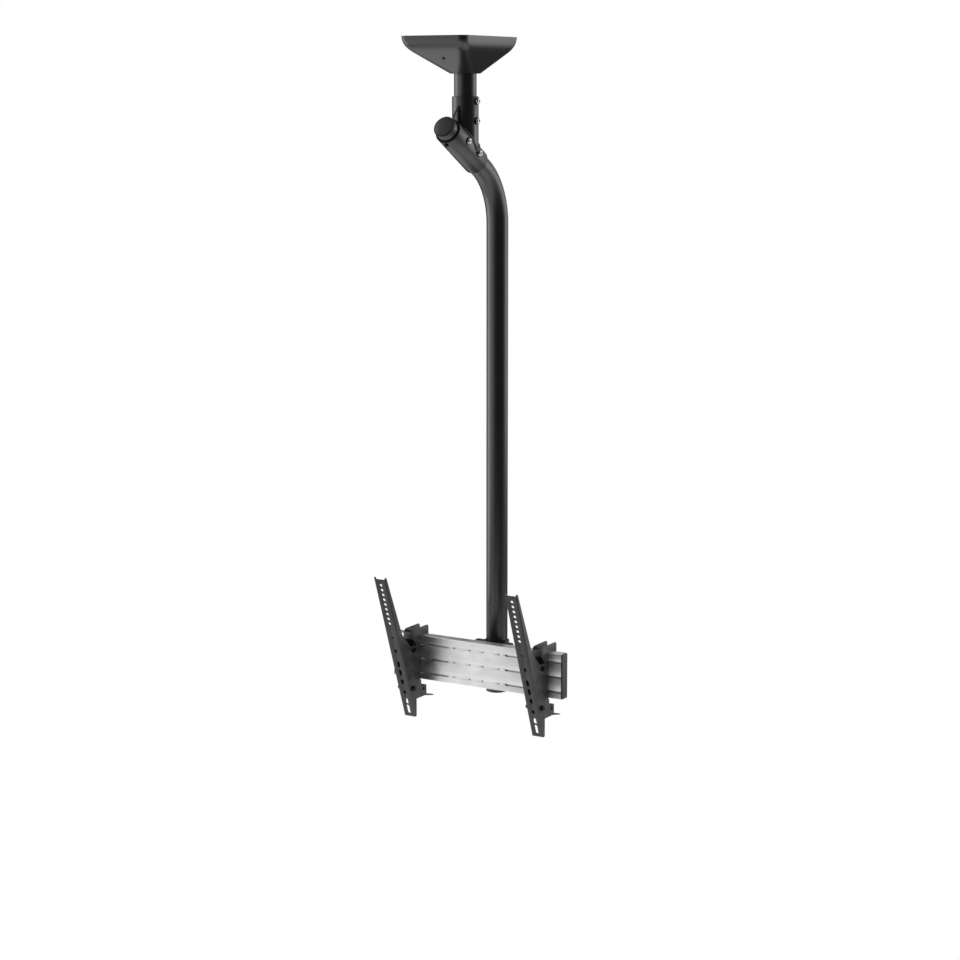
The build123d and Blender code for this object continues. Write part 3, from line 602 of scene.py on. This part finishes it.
def spaced(path, step):
    # Points at even steps along a path of many short pieces
    points, left = [path[0]], step
    for here, after in zip(path, path[1:]):
        along, length = (after - here), (after - here).length
        while left <= length:
            points.append(here + along * (left / length))
            left += step
        left -= length
    return points


def saddleBead():
    # Where the upright sleeve's skin meets the slanted sleeve's, once round
    outer = pipe["sleeve"] + bead["lift"]
    path = []
    for degree in range(361):  # a point each degree, and the first again
        x, y = outer * cos(radians(degree)), outer * sin(radians(degree))
        over = sqrt(max(outer ** 2 - x ** 2, 0))
        z = slope["headZ"] + (over - (y - slope["headY"]) * cos(lean)) / sin(lean)
        path.append(Vector((x, y, z)))
    return weldBead("saddle_weld", spaced(path, bead["step"]))


makeCoupling()
saddleBead()
print("coupling made")


# Rubber ring at the slanted sleeve's mouth
ring = {"thick": 2.5 * mm, "edge": 0.6 * mm}


def mouthRing():
    inner, outer, thick = pipe["radius"], pipe["sleeve"], ring["thick"]
    profile = [(inner, 0), (outer, 0), (outer, thick), (inner, thick), (inner, 0)]
    seal = turned("mouth_seal", profile, pipe["sides"])
    soften(seal, ring["edge"])
    aim(seal, onSlope(coupling["mouth"] - thick), slopeDir)
    return dress(seal, sealRubber, "swivel", "seal_black", "mouth_ring")


mouthRing()

# Screws: heads with a hex socket, washers that follow the sleeve
screw = {"head": 8.8 * mm, "height": 6 * mm, "shank": 5 * mm, "sunk": 5 * mm, "socket": 6.5 * mm,
         "depth": 4.6 * mm, "domeShare": 0.7, "steps": 8, "sides": 48, "edge": 0.3 * mm,
         "edgeOver": 40, "uprightAt": (-167.2 * mm, -218.2 * mm), "slopingAt": (76 * mm, 141 * mm),
         "roll": 17, "rollStep": 40}
washer = {"radius": 10.5 * mm, "thick": 1.6 * mm, "gap": 0.3 * mm, "sunk": 2 * mm, "edge": 0.35 * mm,
          "reach": 20 * mm}
lock = {"head": 6.5 * mm, "height": 5 * mm, "shank": 4 * mm, "sunk": 5 * mm, "socket": 5 * mm,
        "depth": 3 * mm, "edge": 0.4 * mm, "at": 34 * mm}


def cutSocket(piece, sizes):
    # A hex bar that stands at the socket's floor is cut out, then all edges are broken
    height = sizes["height"]
    deselectAll()
    bpy.ops.mesh.primitive_cylinder_add(
        vertices=6, radius=sizes["socket"] / sqrt(3), depth=height, location=(0, 0, height / 2))
    socket = newPiece("socket")
    settle()
    aim(socket, (0, 0, height - sizes["depth"]), zAxis)
    combine(piece, socket, "DIFFERENCE")
    soften(piece, sizes["edge"], overAngle=screw["edgeOver"])


def buttonScrew():
    head, height, shank = screw["head"], screw["height"], screw["shank"]
    foot = -washer["thick"] - screw["sunk"]
    dome = screw["domeShare"] * height
    profile = [(0, foot), (shank, foot), (shank, 0), (head, 0), (head, height - dome)]
    for step in range(1, screw["steps"] + 1):
        angle = radians(90 * step / screw["steps"])
        profile.append((head - dome * (1 - cos(angle)), height - dome * (1 - sin(angle))))
    profile.append((0, height))
    piece = turned("button_screw", profile, screw["sides"])
    cutSocket(piece, screw)
    return piece


def curvedWasher():
    # Its foot is hollowed by a sleeve that lies along Y
    hole, radius, reach = screw["shank"] + washer["gap"], washer["radius"], washer["reach"]
    low, high = pipe["sleeve"] - washer["sunk"], pipe["sleeve"] + washer["thick"]
    profile = [(hole, low), (radius, low), (radius, high), (hole, high), (hole, low)]
    piece = turned("curved_washer", profile, screw["sides"])
    soften(piece, washer["edge"])
    combine(piece, bar("sleeve", pipe["sleeve"], (0, -reach, 0), (0, reach, 0)), "DIFFERENCE")
    smooth(piece)
    return piece


def clampScrews():
    screwModel, washerModel = buttonScrew(), curvedWasher()
    seat = xAxis * (pipe["sleeve"] + washer["thick"])
    upright = [zAxis * height for height in screw["uprightAt"]]
    sloping = [onSlope(distance) for distance in screw["slopingAt"]]
    # Piece, node, places and the turn that lays the washers along their sleeve
    rows = (("stub_screws", "stub_clamp_screws", upright, 0),
            ("pole_screws", "pole_clamp_screws", sloping, lean))
    washers = []
    for name, node, places, turn in rows:
        screws = []
        for number, place in enumerate(places):
            roll = radians(screw["roll"] + screw["rollStep"] * number)
            screws.append(aim(copied(screwModel, name), place + seat, xAxis, roll))
            washers.append(aim(copied(washerModel, "washer"), place, xAxis, turn))
        dress(joined(name, screws), brightSteel, "swivel", "bright_steel", node)
    dress(joined("curved_washers", washers), blackScrew, "swivel", "black_screw", "screw_washers")
    for model in (screwModel, washerModel):
        bpy.data.objects.remove(model)


def lockScrew():
    head, height, shank, sunk = lock["head"], lock["height"], lock["shank"], lock["sunk"]
    profile = [(0, -sunk), (shank, -sunk), (shank, 0), (head, 0), (head, height), (0, height)]
    piece = turned("lock_screw_black", profile, screw["sides"])
    cutSocket(piece, lock)
    aim(piece, onSlope(lock["at"]) + slopeDown * pipe["sleeve"], slopeDown)
    return dress(piece, blackScrew, "swivel", "black_screw", "lock_screw")


clampScrews()
lockScrew()
print("screws made")


# Pieces whose CAD form is already true: a merged copy with its edges broken by these widths
edges = {"plate": 0.5 * mm, "tab": 0.3 * mm, "panScrew": 0.12 * mm, "clamp": 0.6 * mm, "bolt": 0.3 * mm,
         "rail": 0.25 * mm, "cap": 0.3 * mm, "strip": 0.2 * mm, "setScrew": 0.1 * mm,
         "hanger": 0.4 * mm, "arm": 0.35 * mm, "housing": 0.6 * mm, "pull": 0.4 * mm}


def softCopy(node, name, width, material, body, slot):
    piece = nodeCopy(node, name)
    soften(piece, width)
    return dress(piece, material, body, slot, node)


def onCeiling(node, name, width, material, slot):
    return softCopy(node, name, width, material, "ceiling_fixing", slot)


def onCarriage(node, name, width, material, slot):
    return softCopy(node, name, width, material, "carriage", slot)


def onSide(side, node, name, width, material, body, slot):
    # A piece that both sides have, each on its own side's body
    return softCopy(node + "_" + side, name + "_" + side, width, material, side + "_" + body, slot)


onCeiling("ceiling_plate", "ceiling_plate_sheet", edges["plate"], tubeCoat, "black_coat")
onCeiling("stub_ribs", "stub_gussets", edges["plate"], tubeCoat, "black_coat")
onCeiling("cover_tabs", "cover_straps", edges["tab"], tubeCoat, "black_coat")
onCeiling("cover_screws", "cover_pan_screws", edges["panScrew"], blackScrew, "black_screw")
onCarriage("clamp_bracket", "clamp_saddle", edges["clamp"], tubeCoat, "black_coat")
onCarriage("clamp_strap", "clamp_half_strap", edges["clamp"], tubeCoat, "black_coat")
onCarriage("clamp_bolts", "clamp_hex_bolts", edges["bolt"], brightSteel, "bright_steel")
onCarriage("clamp_nuts", "clamp_hex_nuts", edges["bolt"], brightSteel, "bright_steel")
onCarriage("rail_bolts", "rail_hex_bolts", edges["bolt"], brightSteel, "bright_steel")
onCarriage("rail", "rail_extrusion", edges["rail"], railSilver, "rail_silver")
for side in ("left", "right"):
    onCarriage("rail_end_cap_" + side, "rail_cap_" + side, edges["cap"], capPlastic, "cap_grey")
for row in ("top", "middle", "bottom"):
    onCarriage("groove_strip_" + row, "slot_strip_" + row, edges["strip"], railSilver, "rail_silver")
onCarriage("strip_screws", "strip_set_screws", edges["setScrew"], blackScrew, "black_screw")
for side in ("left", "right"):
    onSide(side, "hanger", "hanger_channel", edges["hanger"], armCoat, "hanger", "arm_black")
    onSide(side, "arm", "arm_channel", edges["arm"], armCoat, "arm", "arm_black")
    onSide(side, "pivot_bolt", "pivot_hex_bolt", edges["bolt"], blackScrew, "hanger", "black_screw")
    onSide(side, "stop_bolt", "stop_hex_bolt", edges["bolt"], blackScrew, "hanger", "black_screw")
    onSide(side, "latch_housing", "latch_case", edges["housing"], housingPlastic, "hanger", "housing_black")
    onSide(side, "latch_rivet", "case_rivet", edges["bolt"], blackScrew, "hanger", "black_screw")
    onSide(side, "latch", "latch_pull", edges["pull"], armCoat, "latch", "arm_black")
print("rail, clamp, hangers and arms made")


# Floor, surroundings and lamps
studio = {
    "floorZ": -2.35, "floorSize": 2.4, "floorShade": 0.8, "skyDiffuse": 0.42, "middleZ": -0.95,
    # Darker fields of the surroundings, seen in reflections only:
    # direction, full within and gone past these degrees, how much darker
    "darkZones": (
        ((0, 0, 1), 112, 142, 0.5),
        ((0.80, -0.60, 0), 38, 78, 0.93),
        ((0.72, 0.65, -0.26), 7, 19, 0.93),
        ((0.087, 0.864, -0.495), 13, 24, 0.95),
        ((-0.156, 0.677, -0.72), 13, 21, 0.9),
        ((-0.768, 0.64, 0), 18, 38, 0.95),
        ((-0.539, -0.076, -0.839), 8, 17, 0.55),
    ),
    # Lamps: name, direction, distance, width and height, power
    "softboxes": (
        ("leftSoftbox", (-0.968, -0.25, 0.1), 3.0, (2.0, 4.6), 52),
        ("frontSoftbox", (-0.54, -0.84, -0.08), 5.0, (2.8, 4.0), 17),
        ("rightSoftbox", (0.669, 0.743, 0.02), 7.0, (4.6, 4.6), 96),
    ),
}


def eitherRay(nodes, links, first, second):
    # 1 for a ray of either kind
    either = nodes.new("ShaderNodeMath")
    either.operation = "MAXIMUM"
    links.new(first, either.inputs[0])
    links.new(second, either.inputs[1])
    return either.outputs[0]


def paleFloor():
    deselectAll()
    bpy.ops.mesh.primitive_plane_add(size=studio["floorSize"], location=(0, 0, studio["floorZ"]))
    floor = newPiece("floor")
    material = bpy.data.materials.new("floorWhite")
    material.use_nodes = True
    nodes, links = material.node_tree.nodes, material.node_tree.links
    shader = nodes["Principled BSDF"]
    shader.inputs["Base Color"].default_value = (*[studio["floorShade"]] * 3, 1)
    rays = nodes.new("ShaderNodeLightPath")
    glow = nodes.new("ShaderNodeEmission")
    mix = nodes.new("ShaderNodeMixShader")
    seen = eitherRay(nodes, links, rays.outputs["Is Camera Ray"], rays.outputs["Is Glossy Ray"])
    links.new(seen, mix.inputs["Fac"])
    links.new(shader.outputs["BSDF"], mix.inputs[1])
    links.new(glow.outputs["Emission"], mix.inputs[2])
    links.new(mix.outputs["Shader"], nodes["Material Output"].inputs["Surface"])
    floor.data.materials.append(material)


def darkZone(nodes, links, heading, direction, inner, outer, depth):
    # 1 away from a direction, falling to 1 - depth inside it
    dot = nodes.new("ShaderNodeVectorMath")
    dot.operation = "DOT_PRODUCT"
    dot.inputs[1].default_value = Vector(direction).normalized()
    links.new(heading, dot.inputs[0])
    band = nodes.new("ShaderNodeMapRange")
    band.interpolation_type = "SMOOTHSTEP"
    band.inputs["From Min"].default_value = cos(radians(outer))
    band.inputs["From Max"].default_value = cos(radians(inner))
    band.inputs["To Min"].default_value = 1
    band.inputs["To Max"].default_value = 1 - depth
    links.new(dot.outputs["Value"], band.inputs["Value"])
    return band.outputs["Result"]


def zonesProduct(nodes, links):
    heading = nodes.new("ShaderNodeTexCoord").outputs["Generated"]
    strength = None
    for direction, inner, outer, depth in studio["darkZones"]:
        zone = darkZone(nodes, links, heading, direction, inner, outer, depth)
        if strength:
            product = nodes.new("ShaderNodeMath")
            product.operation = "MULTIPLY"
            links.new(strength, product.inputs[0])
            links.new(zone, product.inputs[1])
            zone = product.outputs[0]
        strength = zone
    return strength


def surroundings():
    # White to the camera, white with darker fields to gloss, and a plain soft light to the rest
    world = bpy.data.worlds.new("studio")
    bpy.context.scene.world = world
    world.use_nodes = True
    nodes, links = world.node_tree.nodes, world.node_tree.links
    nodes.clear()
    rays = nodes.new("ShaderNodeLightPath")
    plain, gloss, seen = [nodes.new("ShaderNodeBackground") for _ in range(3)]
    for background in (plain, gloss, seen):
        background.inputs["Color"].default_value = (1, 1, 1, 1)
    plain.inputs["Strength"].default_value = studio["skyDiffuse"]
    seen.inputs["Strength"].default_value = 1
    links.new(zonesProduct(nodes, links), gloss.inputs["Strength"])
    glossMix = nodes.new("ShaderNodeMixShader")
    links.new(rays.outputs["Is Glossy Ray"], glossMix.inputs["Fac"])
    links.new(plain.outputs[0], glossMix.inputs[1])
    links.new(gloss.outputs[0], glossMix.inputs[2])
    seenMix = nodes.new("ShaderNodeMixShader")
    clear = eitherRay(nodes, links, rays.outputs["Is Camera Ray"], rays.outputs["Is Transmission Ray"])
    links.new(clear, seenMix.inputs["Fac"])
    links.new(glossMix.outputs[0], seenMix.inputs[1])
    links.new(seen.outputs[0], seenMix.inputs[2])
    output = nodes.new("ShaderNodeOutputWorld")
    links.new(seenMix.outputs[0], output.inputs["Surface"])


def softbox(name, direction, distance, size, power):
    # A lamp that faces the middle of the mount
    middle = Vector((0, 0, studio["middleZ"]))
    place = middle + Vector(direction).normalized() * distance
    turn = (place - middle).to_track_quat("Z", "Y").to_euler()
    deselectAll()
    bpy.ops.object.light_add(type="AREA", location=place, rotation=turn)
    lamp = bpy.context.active_object
    lamp.name = name
    lamp.data.shape = "RECTANGLE"
    lamp.data.size, lamp.data.size_y = size
    lamp.data.energy = power


paleFloor()
surroundings()
for values in studio["softboxes"]:
    softbox(*values)
print("studio lit")

# Camera at the photograph's place
camera = {"azimuth": 30.18, "lookDown": 9.685, "distance": 6.0981, "lens": 83.96, "sensor": 36,
          "sideways": 0.03877, "aimZ": -1.18466, "clipEnd": 50}


def addCamera():
    turn, dip = radians(camera["azimuth"]), radians(camera["lookDown"])
    forward = Vector((-sin(turn) * cos(dip), cos(turn) * cos(dip), -sin(dip)))
    right = Vector((cos(turn), sin(turn), 0))
    place = right * camera["sideways"] + Vector((0, 0, camera["aimZ"])) - forward * camera["distance"]
    deselectAll()
    bpy.ops.object.camera_add(location=place, rotation=(pi / 2 - dip, 0, turn))
    seat = bpy.context.active_object
    seat.data.lens = camera["lens"]
    seat.data.sensor_width = camera["sensor"]
    seat.data.clip_end = camera["clipEnd"]
    bpy.context.scene.camera = seat


addCamera()
bpy.context.scene.view_settings.view_transform = "Standard"
print("camera placed")
